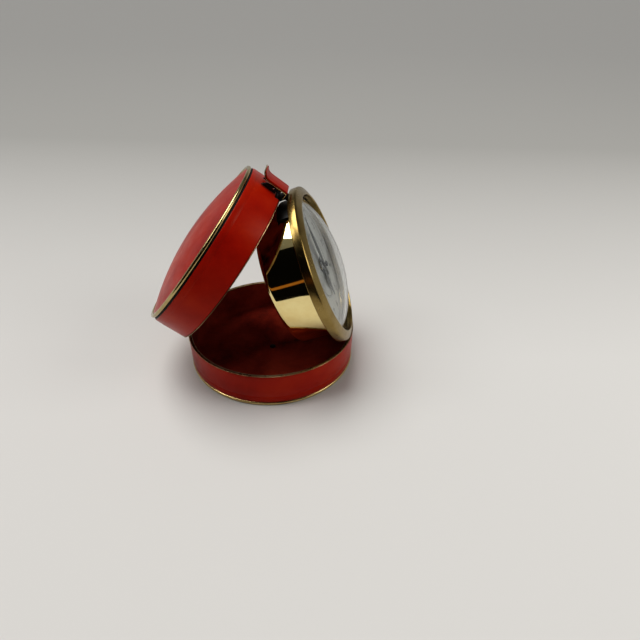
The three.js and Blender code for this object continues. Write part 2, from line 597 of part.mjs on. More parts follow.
function buildMotionWork(group) {
  const minute = places.minute;
  piece(group, "centre_arbor", join(
    rod(centreArbor, cupBack - 2, -0.35),
    gear(10, motionModule, ...level.cannon, 0, 0, 180),
    rod(0.9, -5.5, -1.8),
  ), "steel");
  piece(group, "minute_wheel", cut(
    join(
      gear(30, motionModule, ...level.cannon, ...minute, meshing(30, 180)),
      gear(leafTeeth, motionModule, -4.9, level.hour[1] + 0.05, ...minute, 0),
    ),
    rod(0.48, -7, -3, ...minute),
  ), "brass");
  piece(group, "hour_wheel", cut(
    join(
      gear(32, motionModule, ...level.hour, 0, 0, meshing(32, 0)),
      rod(1.45, level.hour[0], -2.3),
    ),
    rod(1, -7, 0),
  ), "brass");
  piece(group, "alarm_wheel", cut(
    join(
      gear(setTeeth, setModule, ...level.alarm, 0, 0, setPinionAngle),
      rod(2, level.alarm[0], -2.75),
    ),
    rod(1.55, -7, 0),
  ), "brass");
  const set = places.set;
  piece(group, "alarm_set_arbor", join(
    rod(arborRadius.set, cupBack - 2, -3.6, ...set),
    gear(setLeaves, setModule, -4.1, -3.5, ...set, meshing(setLeaves, setPinionAngle)),
  ), "steel");
  for (const [name, [x, y]] of [["time_set_knob", [0, 0]], ["alarm_set_knob", set]]) {
    const radius = name === "time_set_knob" ? centreArbor : arborRadius.set;
    piece(group, name, cut(
      gear(18, 0.24, cupBack - 2.3, cupBack - 0.4, x, y), rod(radius + gap, cupBack - 2.05, cupBack, x, y)), "brass");
  }

  const hand = (reach, wide, tail, tip) => [
    [-wide * 0.45, -tail], [wide * 0.45, -tail], [wide, reach * 0.3], [tip, reach], [-tip, reach],
    [-wide, reach * 0.3],
  ];
  const pointed = (outline, hub, hole, low, high, degrees) =>
    cut(join(raised(outline, low, high), rod(hub, low, high)), rod(hole, low - 1, high + 1))
      .rotate([0, 0, -degrees]);
  piece(group, "alarm_hand", pointed(hand(13, 0.7, 0, 0.2), 2.8, 2.15, -2.9, -2.6, 200), "steel");
  piece(group, "hour_hand", pointed(hand(15, 2.3, 3.5, 0.25), 2, 1.5, -2.45, -2.1, 180), "handBlack");
  piece(group, "minute_hand",
    pointed(hand(21, 2, 5, 0.2), 1.5, centreArbor + gap, -1.55, -1.2, 0), "handBlack");
}

function buildAlarm(group) {
  buildBarrel(group, "alarm", alarmTeeth, 6.6, 60);
  const verge = places.verge;
  const teeth = [...Array(15).keys()].flatMap((i) =>
    [polar(2, i * 24, ...verge), polar(2.55, i * 24 + 12, ...verge)]);
  piece(group, "alarm_escape_wheel", join(
    rod(arborRadius.verge, ...arborEnds, ...verge),
    gear(leafTeeth, barrelModule, -9, -6.75, ...verge, meshing(leafTeeth, 60)),
    raised(teeth, -9.4, -8.8),
  ), "brass");
  const hammer = places.hammer;
  const head = [22.4, 3.6];
  piece(group, "alarm_hammer", join(
    rod(arborRadius.hammer, ...arborEnds, ...hammer),
    bar(hammer, head, 0.8, -11, -10.3),
    rod(1.2, -11.8, -9.5, ...head),
  ), "steel");
  piece(group, "alarm_stop_button", join(
    rod(stopRadius, cupBack - 1.5, cupInside + 1.8, ...places.stop),
    rod(1.9, cupInside + 1, cupInside + 1.8, ...places.stop)), "brass");
}

// ---------- assembly ----------
const clock3d = new THREE.Group();
const base = new THREE.Group();
const lidPivot = new THREE.Group();
const lid = new THREE.Group();
const clock = new THREE.Group();
const clockBody = new THREE.Group();

lidPivot.position.set(-hingeX, 0, baseHeight);
lidPivot.rotation.y = -radians(lidAngle);
lid.position.set(hingeX, 0, rimGap);
lidPivot.add(lid);
clock.position.set(lean.pivot.x, 0, lean.pivot.z);
clock.rotation.set(0, lean.turn, Math.PI / 2);
clockBody.position.set(0, -pivotAbove, pivotBehind);
clock.add(clockBody);
clock3d.add(base, lidPivot, clock);

buildBase(base);
buildCaseHinge(base, lid);
buildLid(lid);
buildLatch(lid, lid);
buildClockHinge(lid, clockBody);
buildClockCase(clockBody);
buildPlates(clockBody);
buildGoingTrain(clockBody);
buildMotionWork(clockBody);
buildAlarm(clockBody);

export default clock3d;
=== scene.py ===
# A folding travel alarm clock, standing open: leather case, brass clock leaning out of the lid.
import bpy
import json
import math
from mathutils import Matrix, Vector


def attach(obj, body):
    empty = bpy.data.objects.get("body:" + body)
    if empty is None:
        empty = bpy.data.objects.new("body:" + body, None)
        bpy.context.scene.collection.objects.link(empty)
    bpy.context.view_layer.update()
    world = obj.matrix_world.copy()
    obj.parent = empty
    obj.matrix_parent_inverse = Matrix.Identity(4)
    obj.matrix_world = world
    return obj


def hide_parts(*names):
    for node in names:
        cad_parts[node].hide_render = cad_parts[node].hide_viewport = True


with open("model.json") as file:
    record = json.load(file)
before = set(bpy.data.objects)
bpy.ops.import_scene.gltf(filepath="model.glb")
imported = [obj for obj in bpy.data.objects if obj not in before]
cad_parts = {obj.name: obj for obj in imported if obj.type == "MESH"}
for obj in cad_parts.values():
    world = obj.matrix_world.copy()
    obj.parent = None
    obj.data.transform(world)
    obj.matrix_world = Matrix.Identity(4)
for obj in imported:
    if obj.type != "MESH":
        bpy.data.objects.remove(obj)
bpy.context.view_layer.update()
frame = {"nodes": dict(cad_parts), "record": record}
scene = bpy.context.scene
mm = 0.001
joints = {j["name"]: j for j in frame["record"]["behaviour"]["joints"]}

# where the lid and the clock stand
caseHinge = Vector(joints["lid_hinge"]["pos_m"])
clockHinge = Vector(joints["clock_hinge"]["pos_m"])
dialOut = -Vector(joints["minutes_spin"]["axis"]).normalized()
dialUp = Vector((-dialOut.z, 0, dialOut.x))
clockSizes = dict(pivotBehind=7.75, arborMiddle=10.0, stopButton=(0, -18))
dialCentre = Vector(joints["minutes_spin"]["pos_m"]) + dialOut * clockSizes["arborMiddle"] * mm
pivotAbove = (clockHinge - dialCentre).dot(dialUp) / mm
caseSizes = dict(radius=35.0, hingeOut=37.0, baseHeight=15.0, lidDepth=13.0, domeRise=5.0, pivotAcross=70.0,
                 pivotUp=1.1)
toPivot = clockHinge - caseHinge
lidOpen = math.atan2(toPivot.z, toPivot.x) - math.atan2(caseSizes["pivotUp"], caseSizes["pivotAcross"])

basePlace = Matrix.Identity(4)
lidPlace = (Matrix.Translation(caseHinge) @ Matrix.Rotation(-lidOpen, 4, "Y")
            @ Matrix.Translation((caseSizes["hingeOut"] * mm, 0, 0.1 * mm)))
clockPlace = Matrix.Translation(dialCentre) @ Matrix((
    (0, dialUp.x, dialOut.x, 0),
    (1, dialUp.y, dialOut.y, 0),
    (0, dialUp.z, dialOut.z, 0),
    (0, 0, 0, 1)))


# material helpers
def newMaterial(name, **settings):
    made = bpy.data.materials.new(name)
    made.use_nodes = True
    shader = made.node_tree.nodes["Principled BSDF"]
    for socket, value in settings.items():
        shader.inputs[socket.replace("_", " ")].default_value = value
    return made, made.node_tree, shader


def addNode(tree, kind, **inputs):
    node = tree.nodes.new(kind)
    for key, value in inputs.items():
        if hasattr(node, key) and key not in node.inputs:
            setattr(node, key, value)
        else:
            node.inputs[key].default_value = value
    return node


def ownCoordinates(tree, scale=(1, 1, 1)):
    place = tree.nodes.new("ShaderNodeTexCoord")
    mapping = tree.nodes.new("ShaderNodeMapping")
    mapping.inputs["Scale"].default_value = scale
    tree.links.new(place.outputs["Object"], mapping.inputs["Vector"])
    return mapping.outputs["Vector"]


def noise(tree, vector, scale, detail=4.0, roughness=0.5):
    node = addNode(tree, "ShaderNodeTexNoise", Scale=scale, Detail=detail, Roughness=roughness)
    tree.links.new(vector, node.inputs["Vector"])
    return node.outputs["Fac"]


def ramp(tree, source, stops):
    node = tree.nodes.new("ShaderNodeValToRGB")
    elements = node.color_ramp.elements
    while len(elements) < len(stops):
        elements.new(0.5)
    for element, (position, colour) in zip(elements, stops):
        element.position = position
        element.color = colour if len(colour) == 4 else (*colour, 1)
    tree.links.new(source, node.inputs["Fac"])
    return node.outputs["Color"]


def spread(tree, source, low, high, fromLow=0.3, fromHigh=0.7):
    node = tree.nodes.new("ShaderNodeMapRange")
    for socket, value in (("From Min", fromLow), ("From Max", fromHigh), ("To Min", low), ("To Max", high)):
        node.inputs[socket].default_value = value
    tree.links.new(source, node.inputs["Value"])
    return node.outputs["Result"]


# layers: (height output, strength, distance in mm)
def bump(tree, shader, layers):
    last = None
    for height, strength, distance in layers:
        node = addNode(tree, "ShaderNodeBump", Strength=strength, Distance=distance * mm)
        tree.links.new(height, node.inputs["Height"])
        if last:
            tree.links.new(last, node.inputs["Normal"])
        last = node.outputs["Normal"]
    tree.links.new(last, shader.inputs["Normal"])


# materials
leatherLook = dict(deep=(0.19, 0.0015, 0.0), mid=(0.32, 0.007, 0.0005), high=(0.42, 0.024, 0.002),
                   mottle=45.0, grain=2600.0, pores=1500.0, scuffs=160.0)


def leatherMaterial():
    made, tree, shader = newMaterial("redLeather", Roughness=0.34, Coat_Weight=0.06, Coat_Roughness=0.2,
                                     Specular_IOR_Level=0.2)
    shader.inputs["Specular Tint"].default_value = (1.0, 0.62, 0.38, 1)
    place = ownCoordinates(tree)
    mottle = noise(tree, place, leatherLook["mottle"], 5.0, 0.6)
    colour = ramp(tree, mottle,
                  [(0.25, leatherLook["deep"]), (0.5, leatherLook["mid"]), (0.78, leatherLook["high"])])
    tree.links.new(colour, shader.inputs["Base Color"])
    scuffs = noise(tree, place, leatherLook["scuffs"], 8.0, 0.65)
    tree.links.new(spread(tree, scuffs, 0.28, 0.44), shader.inputs["Roughness"])
    grain = noise(tree, place, leatherLook["grain"], 3.0)
    cells = addNode(tree, "ShaderNodeTexVoronoi", Scale=leatherLook["pores"])
    cells.feature = "SMOOTH_F1"
    tree.links.new(place, cells.inputs["Vector"])
    bump(tree, shader, [(cells.outputs["Distance"], 0.10, 0.05), (grain, 0.12, 0.03)])
    return made


liningLook = dict(dark=(0.02, 0.001, 0.001), mid=(0.26, 0.024, 0.010), light=(0.52, 0.075, 0.035),
                  stains=70.0, patches=22.0, nap=5200.0, fibres=1400.0)


def liningMaterial():
    made, tree, shader = newMaterial("wineLining", Roughness=0.95, Sheen_Weight=0.12, Sheen_Roughness=0.5,
                                     Specular_IOR_Level=0.15)
    shader.inputs["Sheen Tint"].default_value = (0.6, 0.12, 0.1, 1)
    place = ownCoordinates(tree)
    patches = noise(tree, place, liningLook["patches"], 3.0, 0.55)
    stains = noise(tree, place, liningLook["stains"], 7.0, 0.7)
    together = addNode(tree, "ShaderNodeMath", operation="MULTIPLY_ADD")
    together.inputs[1].default_value = 0.6
    tree.links.new(stains, together.inputs[0])
    tree.links.new(spread(tree, patches, 0.0, 0.4, 0.25, 0.75), together.inputs[2])
    colour = ramp(tree, together.outputs[0],
                  [(0.3, liningLook["dark"]), (0.45, liningLook["mid"]), (0.68, liningLook["light"])])
    tree.links.new(colour, shader.inputs["Base Color"])
    nap = noise(tree, place, liningLook["nap"], 4.0, 0.6)
    fibres = noise(tree, ownCoordinates(tree, (1, 1.6, 0.7)), liningLook["fibres"], 5.0, 0.7)
    bump(tree, shader, [(fibres, 0.35, 0.12), (nap, 0.4, 0.06)])
    return made


brassLook = dict(
    polishedBrass=dict(base=(0.92, 0.78, 0.40), tarnish=(0.80, 0.62, 0.28), smooth=0.03, rough=0.09,
                       mark=0.02, lines=0.03),
    wornBrass=dict(base=(0.74, 0.58, 0.28), tarnish=(0.46, 0.32, 0.13), smooth=0.14, rough=0.3, mark=0.05,
                   lines=0.12),
    brushedBrass=dict(base=(0.33, 0.24, 0.09), tarnish=(0.21, 0.135, 0.04), smooth=0.2, rough=0.3,
                      mark=0.03, lines=0.25),
    ringBrass=dict(base=(0.52, 0.42, 0.20), tarnish=(0.30, 0.22, 0.09), smooth=0.14, rough=0.26, mark=0.03,
                   lines=0.04),
    edgeBrass=dict(base=(0.42, 0.30, 0.17), tarnish=(0.16, 0.10, 0.05), smooth=0.24, rough=0.42, mark=0.08,
                   lines=0.05),
    innerBrass=dict(base=(0.76, 0.60, 0.30), tarnish=(0.55, 0.40, 0.18), smooth=0.2, rough=0.34, mark=0.05,
                    lines=0.08),
)


def brassMaterial(name):
    look = brassLook[name]
    made, tree, shader = newMaterial(name, Metallic=1.0, Roughness=0.2)
    place = ownCoordinates(tree)
    clouds = noise(tree, place, 90.0, 8.0, 0.62)
    tree.links.new(ramp(tree, clouds, [(0.3, look["tarnish"]), (0.58, look["base"])]),
                   shader.inputs["Base Color"])
    wear = noise(tree, place, 420.0, 6.0, 0.7)
    tree.links.new(spread(tree, wear, look["smooth"], look["rough"], 0.35, 0.75), shader.inputs["Roughness"])
    scratches = noise(tree, ownCoordinates(tree, (260, 4200, 900)), 1.0, 3.0)
    bump(tree, shader, [(wear, look["mark"], 0.02), (scratches, look["lines"], 0.01)])
    return made


def steelMaterial(name, base, metallic, low, high):
    made, tree, shader = newMaterial(name, Metallic=metallic, Roughness=0.3)
    place = ownCoordinates(tree)
    clouds = noise(tree, place, 300.0, 6.0, 0.6)
    dark = tuple(c * 0.55 for c in base)
    tree.links.new(ramp(tree, clouds, [(0.35, dark), (0.6, base)]), shader.inputs["Base Color"])
    tree.links.new(spread(tree, clouds, low, high), shader.inputs["Roughness"])
    bump(tree, shader, [(noise(tree, place, 2400.0, 3.0), 0.1, 0.02)])
    return made


def dialMaterial():
    made, tree, shader = newMaterial("silveredDial", Metallic=0.25, Roughness=0.42)
    place = ownCoordinates(tree)
    age = noise(tree, place, 60.0, 6.0, 0.6)
    colour = ramp(tree, age, [(0.3, (0.60, 0.59, 0.55)), (0.7, (0.76, 0.76, 0.73))])
    tree.links.new(colour, shader.inputs["Base Color"])
    bump(tree, shader, [(noise(tree, place, 3500.0, 3.0), 0.08, 0.02)])
    return made


def crystalMaterial():
    made, tree, shader = newMaterial("clearCrystal", Roughness=0.015, IOR=1.49, Transmission_Weight=1.0)
    shader.inputs["Base Color"].default_value = (0.97, 0.99, 0.985, 1)
    haze = noise(tree, ownCoordinates(tree), 240.0, 8.0, 0.7)
    tree.links.new(spread(tree, haze, 0.008, 0.05, 0.45, 0.85), shader.inputs["Roughness"])
    return made


looks = dict(
    redLeather=leatherMaterial(),
    wineLining=liningMaterial(),
    silveredDial=dialMaterial(),
    clearCrystal=crystalMaterial(),
    blackSteel=steelMaterial("blackSteel", (0.006, 0.0055, 0.005), 0.3, 0.45, 0.65),
    plainSteel=steelMaterial("plainSteel", (0.55, 0.55, 0.55), 1.0, 0.16, 0.34),
    blueGreyHandsAndShadow=steelMaterial("blueGreyHandsAndShadow", (0.075, 0.075, 0.073), 0.5, 0.35, 0.5),
    printedInk=steelMaterial("printedInk", (0.02, 0.02, 0.02), 0.0, 0.45, 0.6),
)
for brassName in brassLook:
    looks[brassName] = brassMaterial(brassName)
print("materials ready")


# modelling helpers
def deselectAll():
    bpy.ops.object.select_all(action="DESELECT")


def useOnly(piece):
    deselectAll()
    piece.select_set(True)
    bpy.context.view_layer.objects.active = piece


def startVertex(x, y, z):
    deselectAll()
    bpy.ops.mesh.primitive_plane_add(size=mm, location=(0, 0, 0))
    bpy.ops.object.mode_set(mode="EDIT")
    bpy.ops.mesh.select_all(action="SELECT")
    bpy.ops.mesh.merge(type="CENTER")
    bpy.ops.transform.translate(value=(x * mm, y * mm, z * mm))


# points in mm, as (x, y, z); leaves the outline selected in edit mode
def drawOutline(points, close=True):
    startVertex(*points[0])
    for (x0, y0, z0), (x1, y1, z1) in zip(points, points[1:]):
        step = ((x1 - x0) * mm, (y1 - y0) * mm, (z1 - z0) * mm)
        bpy.ops.mesh.extrude_vertices_move(TRANSFORM_OT_translate={"value": step})
    piece = bpy.context.object
    if close:
        bpy.ops.mesh.select_all(action="DESELECT")
        bpy.ops.object.mode_set(mode="OBJECT")
        for index in (0, len(points) - 1):
            piece.data.vertices[index].select = True
        bpy.ops.object.mode_set(mode="EDIT")
        bpy.ops.mesh.edge_face_add()
    bpy.ops.mesh.select_all(action="SELECT")
    return piece


def cleanUp():
    bpy.ops.mesh.select_all(action="SELECT")
    bpy.ops.mesh.remove_doubles(threshold=0.0005 * mm)
    bpy.ops.mesh.normals_make_consistent(inside=False)
    bpy.ops.object.mode_set(mode="OBJECT")


def addModifier(piece, kind, **settings):
    useOnly(piece)
    modifier = piece.modifiers.new(kind.title(), kind)
    for key, value in settings.items():
        setattr(modifier, key, value)
    bpy.ops.object.modifier_apply(modifier=modifier.name)


def softenEdges(piece, width, segments=2, angle=28):
    if width:
        addModifier(piece, "BEVEL", width=width * mm, segments=segments, limit_method="ANGLE",
                    angle_limit=math.radians(angle), use_clamp_overlap=True)


def finishPiece(piece, name, place, look, body, nodes=(), smoothAngle=38):
    piece.name = name
    piece.data.name = name
    useOnly(piece)
    piece.matrix_world = place
    bpy.ops.object.transform_apply(location=True, rotation=True, scale=True)
    bpy.ops.object.shade_smooth_by_angle(angle=math.radians(smoothAngle))
    piece.data.materials.clear()
    piece.data.materials.append(looks[look])
    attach(piece, body)
    if nodes:
        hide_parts(*nodes)
    return piece


# profile: (radius, height) in mm, spun about Z
def turn(profile, closed=True, steps=128, soften=0.12, segments=2):
    piece = drawOutline([(r, 0, z) for r, z in profile], closed)
    bpy.ops.mesh.spin(steps=steps, angle=2 * math.pi, center=(0, 0, 0), axis=(0, 0, 1))
    cleanUp()
    softenEdges(piece, soften, segments)
    return piece


# a flat outline in mm, filled and extruded by rise (a vector in mm)
def thicken(points, rise, soften=0.08, segments=2):
    piece = drawOutline(points)
    bpy.ops.mesh.edge_face_add()
    bpy.ops.mesh.extrude_region_move(TRANSFORM_OT_translate={"value": tuple(c * mm for c in rise)})
    cleanUp()
    softenEdges(piece, soften, segments)
    return piece


def cutAway(piece, cutter):
    addModifier(piece, "BOOLEAN", operation="DIFFERENCE", object=cutter, solver="EXACT")
    bpy.data.objects.remove(cutter)


def boxCutter(low, high):
    deselectAll()
    middle = [(a + b) / 2 * mm for a, b in zip(low, high)]
    bpy.ops.mesh.primitive_cube_add(size=1, location=middle)
    cutter = bpy.context.object
    cutter.scale = [(b - a) * mm for a, b in zip(low, high)]
    bpy.ops.object.transform_apply(location=True, rotation=True, scale=True)
    return cutter


# a round bar between two points in mm
def rod(radius, start, end, sides=32, soften=0.05):
    deselectAll()
    a, b = Vector(start), Vector(end)
    bpy.ops.mesh.primitive_cylinder_add(vertices=sides, radius=radius * mm, depth=(b - a).length * mm)
    piece = bpy.context.object
    turned = (b - a).to_track_quat("Z", "Y").to_matrix().to_4x4()
    piece.matrix_world = Matrix.Translation((a + b) / 2 * mm) @ turned
    bpy.ops.object.transform_apply(location=True, rotation=True, scale=True)
    softenEdges(piece, soften)
    return piece


def joined(pieces):
    deselectAll()
    for piece in pieces:
        piece.select_set(True)
    bpy.context.view_layer.objects.active = pieces[0]
    bpy.ops.object.join()
    return bpy.context.object


def around(radius, degrees, z=None):
    spot = (radius * math.cos(math.radians(degrees)), radius * math.sin(math.radians(degrees)))
    return spot if z is None else (*spot, z)


# camera, floor and light
cameraLook = dict(place=(24.41, -179.34, 144.19), yaw=-0.020, pitch=0.616, roll=0.016, lens=28.88)
bpy.ops.object.camera_add(location=[c * mm for c in cameraLook["place"]])
camera = bpy.context.object
forward = Vector((math.sin(cameraLook["yaw"]) * math.cos(cameraLook["pitch"]),
                  math.cos(cameraLook["yaw"]) * math.cos(cameraLook["pitch"]),
                  -math.sin(cameraLook["pitch"])))
camera.rotation_mode = "QUATERNION"
camera.rotation_quaternion = (forward.to_track_quat("-Z", "Y")
                              @ Matrix.Rotation(cameraLook["roll"], 4, "Z").to_quaternion())
camera.data.lens = cameraLook["lens"]
camera.data.sensor_width = 36
camera.data.clip_start = 0.005
scene.camera = camera
scene.view_settings.view_transform = "Standard"
scene.view_settings.look = "Medium High Contrast"

# The floor is painted darker farther back along +Y: painted shade for the light falling off behind the clock.
floorLook = dict(radius=3200, colour=(0.62, 0.61, 0.595), farther=(0.37, 0.365, 0.35),
                 far=(0.35, 0.345, 0.335), weave=2600.0)


def makeFloor():
    deselectAll()
    bpy.ops.mesh.primitive_circle_add(vertices=96, radius=floorLook["radius"] * mm, fill_type="NGON",
                                      location=(0, 0, -0.02 * mm))
    floor = bpy.context.object
    bpy.ops.object.transform_apply(location=True)
    floor.name = "paleFloor"
    made, tree, shader = newMaterial("paleCloth", Roughness=0.85, Sheen_Weight=0.15)
    split = tree.nodes.new("ShaderNodeSeparateXYZ")
    tree.links.new(ownCoordinates(tree), split.inputs["Vector"])
    # painted shade: the floor colour darkens from the front towards the back
    away = spread(tree, split.outputs["Y"], 0, 1, 0.0, 0.9)
    tree.links.new(ramp(tree, away,
                        [(0.0, floorLook["colour"]), (0.35, floorLook["farther"]),
                         (1.0, floorLook["far"])]), shader.inputs["Base Color"])
    weave = noise(tree, ownCoordinates(tree), floorLook["weave"], 2.0)
    bump(tree, shader, [(weave, 0.08, 0.1)])
    floor.data.materials.append(made)


makeFloor()

lightLook = dict(
    overhead=dict(kind="SUN", place=(-190, 120, 640), aim=(0, 0, 0), spread=38, power=2.0,
                  colour=(1, 0.985, 0.96)),
    left=dict(kind="AREA", place=(-420, -60, 520), aim=(0, 0, 40), size=200, power=0.5, colour=(1, 1, 1)),
    right=dict(kind="AREA", place=(520, -100, 420), aim=(0, 0, 30), size=300, power=0.8,
               colour=(1, 0.98, 0.95)),
)
for lightName, look in lightLook.items():
    deselectAll()
    spot = Vector(look["place"]) * mm
    bpy.ops.object.light_add(type=look["kind"], location=spot)
    lamp = bpy.context.object
    lamp.name = lightName
    if look["kind"] == "SUN":
        lamp.data.angle = math.radians(look["spread"])
    else:
        lamp.data.size = look["size"] * mm
    lamp.data.energy = look["power"]
    lamp.data.color = look["colour"]
    lamp.rotation_euler = (Vector(look["aim"]) * mm - spot).to_track_quat("-Z", "Y").to_euler()

# a black card with a brown band stands in front, out of sight, seen only in reflections: it paints a dark
# reflection with a brown stripe into the brass
cardLook = dict(y=-235, left=-900, right=330, top=560, bandLow=0.084, bandHigh=0.103, bandTilt=0.36,
                band=(0.5, 0.22, 0.05), mat=[(-3, -235), (-62, -128), (-420, -128), (-420, -235)])


def blackMaterial():
    c = cardLook
    made, tree, shader = newMaterial("blackCard", Roughness=1.0, Specular_IOR_Level=0.0)
    split = tree.nodes.new("ShaderNodeSeparateXYZ")
    tree.links.new(ownCoordinates(tree), split.inputs["Vector"])
    slanted = addNode(tree, "ShaderNodeMath", operation="MULTIPLY_ADD")
    slanted.inputs[1].default_value = -c["bandTilt"]
    tree.links.new(split.outputs["X"], slanted.inputs[0])
    tree.links.new(split.outputs["Z"], slanted.inputs[2])
    black = (0.004, 0.004, 0.003)
    height = spread(tree, slanted.outputs[0], 0, 1, 0, 0.2)
    low, high = c["bandLow"] / 0.2, c["bandHigh"] / 0.2
    stops = [(0, black), (low - 0.005, black), (low + 0.005, c["band"]), (high - 0.005, c["band"]),
             (high + 0.005, black)]
    tree.links.new(ramp(tree, height, stops), shader.inputs["Base Color"])
    return made


def hideFromView(card, name, look):
    card.name = name
    card.data.materials.append(look)
    card.visible_camera = False
    card.visible_diffuse = False
    card.visible_shadow = False


def makeCards():
    c = cardLook
    look = blackMaterial()
    deselectAll()
    middle = ((c["left"] + c["right"]) / 2 * mm, c["y"] * mm, c["top"] / 2 * mm)
    bpy.ops.mesh.primitive_plane_add(size=1, location=middle, rotation=(math.pi / 2, 0, 0))
    card = bpy.context.object
    card.scale = ((c["right"] - c["left"]) * mm, c["top"] * mm, 1)
    bpy.ops.object.transform_apply(location=True, rotation=True, scale=True)
    hideFromView(card, "blackCard", look)
    # a black mat on the floor, also seen only in reflections, paints more dark reflection into the cup
    mat = drawOutline([(x, y, 0.3) for x, y in c["mat"]])
    bpy.ops.mesh.edge_face_add()
    bpy.ops.object.mode_set(mode="OBJECT")
    hideFromView(mat, "blackMat", look)


def makeWorld():
    world = bpy.data.worlds.new("studio")
    scene.world = world
    world.use_nodes = True
    tree = world.node_tree
    sky = tree.nodes["Background"]
    direction = tree.nodes.new("ShaderNodeTexCoord")
    split = tree.nodes.new("ShaderNodeSeparateXYZ")
    tree.links.new(direction.outputs["Generated"], split.inputs["Vector"])
    upward = ramp(tree, spread(tree, split.outputs["Z"], 0, 1, -0.2, 1.0),
                  [(0.0, (0.6, 0.6, 0.59)), (0.17, (0.6, 0.6, 0.59)), (0.4, (0.45, 0.45, 0.44)),
                   (0.65, (0.1, 0.1, 0.095)), (1.0, (0.3, 0.3, 0.295))])
    tree.links.new(upward, sky.inputs["Color"])
    sky.inputs["Strength"].default_value = 0.7


makeWorld()
makeCards()
print("camera, floor and light ready")

# base
r = caseSizes["radius"]
baseHeight = caseSizes["baseHeight"]
baseSizes = dict(wallLow=1.6, wallTop=14.66, seam=4.4, floor=2.35, liningOut=33.9, liningIn=33.6)


def makeBase():
    s = baseSizes
    foot = turn([(r - 2.4, 0.35), (r - 1.9, 0.0), (r - 0.8, 0.0), (r - 0.2, 0.35), (r - 0.05, 0.85),
                 (r - 0.25, 1.35), (r - 0.8, 1.55), (r - 2.4, 1.5)], soften=0.1)
    finishPiece(foot, "baseFootRing", basePlace, "wornBrass", "base", ["base_foot_ring"])
    under = turn([(0, 0), (r - 3.2, 0), (r - 2.6, 0.12), (r - 2.45, 0.5), (r - 2.45, 1.5), (0, 1.5)],
                 closed=False)
    finishPiece(under, "baseUnderPanel", basePlace, "redLeather", "base",
                ["base_bottom_panel"])
    leather = turn([(r - 0.6, s["wallLow"]), (r - 0.4, s["wallLow"]), (r - 0.26, 2.0),
                    (r - 0.2, s["seam"] - 0.35), (r - 0.28, s["seam"]), (r - 0.16, s["seam"] + 0.35),
                    (r - 0.06, 8.5), (r, 13.4), (r - 0.05, 14.3), (r - 0.2, s["wallTop"]),
                    (r - 0.6, s["wallTop"])], soften=0.06, steps=160)
    finishPiece(leather, "baseLeatherBand", basePlace, "redLeather", "base",
                ["base_leather_band"])
    trim = turn([(r - 1.2, 14.7), (r - 0.55, 14.7), (r + 0.02, 14.72), (r + 0.1, 14.85), (r, 14.96),
                 (r - 0.25, 15.0), (r - 1.0, 15.0), (r - 1.2, 14.9)], soften=0.04, steps=160)
    finishPiece(trim, "baseRimTrim", basePlace, "edgeBrass", "base", ["base_rim_trim"])
    liningProfile = [(0, s["floor"] - 0.3), (s["liningOut"], s["floor"] - 0.3), (s["liningOut"], 14.45),
                     (s["liningIn"] + 0.05, 14.45), (s["liningIn"], 14.2), (s["liningIn"], 4.1),
                     (s["liningIn"] - 0.35, 3.1), (s["liningIn"] - 1.2, s["floor"] + 0.1)]
    liningProfile += [(s["liningIn"] - 1.2 - k * 1.6, s["floor"]) for k in range(1, 20)]
    liningProfile += [(0.8, s["floor"] - 0.12), (0, s["floor"] - 0.15)]
    lining = turn(liningProfile, closed=False, steps=160, soften=0)
    dents = bpy.data.textures.new("liningDents", "CLOUDS")
    dents.noise_scale = 0.006
    dents.noise_depth = 3
    addModifier(lining, "DISPLACE", texture=dents, strength=0.22 * mm, mid_level=0.5, texture_coords="LOCAL")
    finishPiece(lining, "baseLining", basePlace, "wineLining", "base", ["base_lining"])
    rivet = turn([(0, 2.2), (1.3, 2.2), (1.25, 2.5), (0.85, 2.78), (0.35, 2.86), (0, 2.88)], closed=False,
                 steps=48)
    finishPiece(rivet, "baseRivet", basePlace, "blackSteel", "base")


makeBase()
print("base ready")

# case hinge
hingeSizes = dict(axis=-37.0, knuckle=1.25, pin=0.5, half=7.0, split=2.8, play=0.2, thick=0.45, drop=5.4)


def hingeLeaf(spans, top, place, body, name, node, side):
    s = hingeSizes
    half = math.degrees(math.asin(s["half"] / r))
    low, high = sorted((top, top + side * s["drop"]))
    outline = [around(r + 0.06, 180 - half + half * k / 6) for k in range(13)]
    outline += [around(r + 0.06 + s["thick"], 180 + half - half * k / 6) for k in range(13)]
    plate = thicken([(x, y, low) for x, y in outline], (0, 0, high - low), soften=0.12)
    for y in (-0.62, 0.62):
        for depth in (0.45, 0.8):
            spot = (-(r + 0.45), y * s["half"], top + side * s["drop"] * depth)
            plate = joined([plate, rod(0.5, spot, (spot[0] - 0.45, spot[1], spot[2]), 20, 0.15)])
    for start, end in spans:
        knuckle = rod(s["knuckle"], (s["axis"], start, 0), (s["axis"], end, 0), 40, 0.12)
        cutAway(knuckle, rod(s["pin"] + 0.06, (s["axis"], start - 1, 0), (s["axis"], end + 1, 0), 32, 0))
        web = thicken([(s["axis"] + 0.9, start, side * 0.75), (-r - 0.12, start, side * 0.75),
                       (-r - 0.12, start, side * 1.5), (s["axis"] + 0.2, start, side * 1.5),
                       (s["axis"] - 0.3, start, side * 1.1)], (0, end - start, 0))
        plate = joined([plate, knuckle, web])
    finishPiece(plate, name, place, "wornBrass", body, [node])


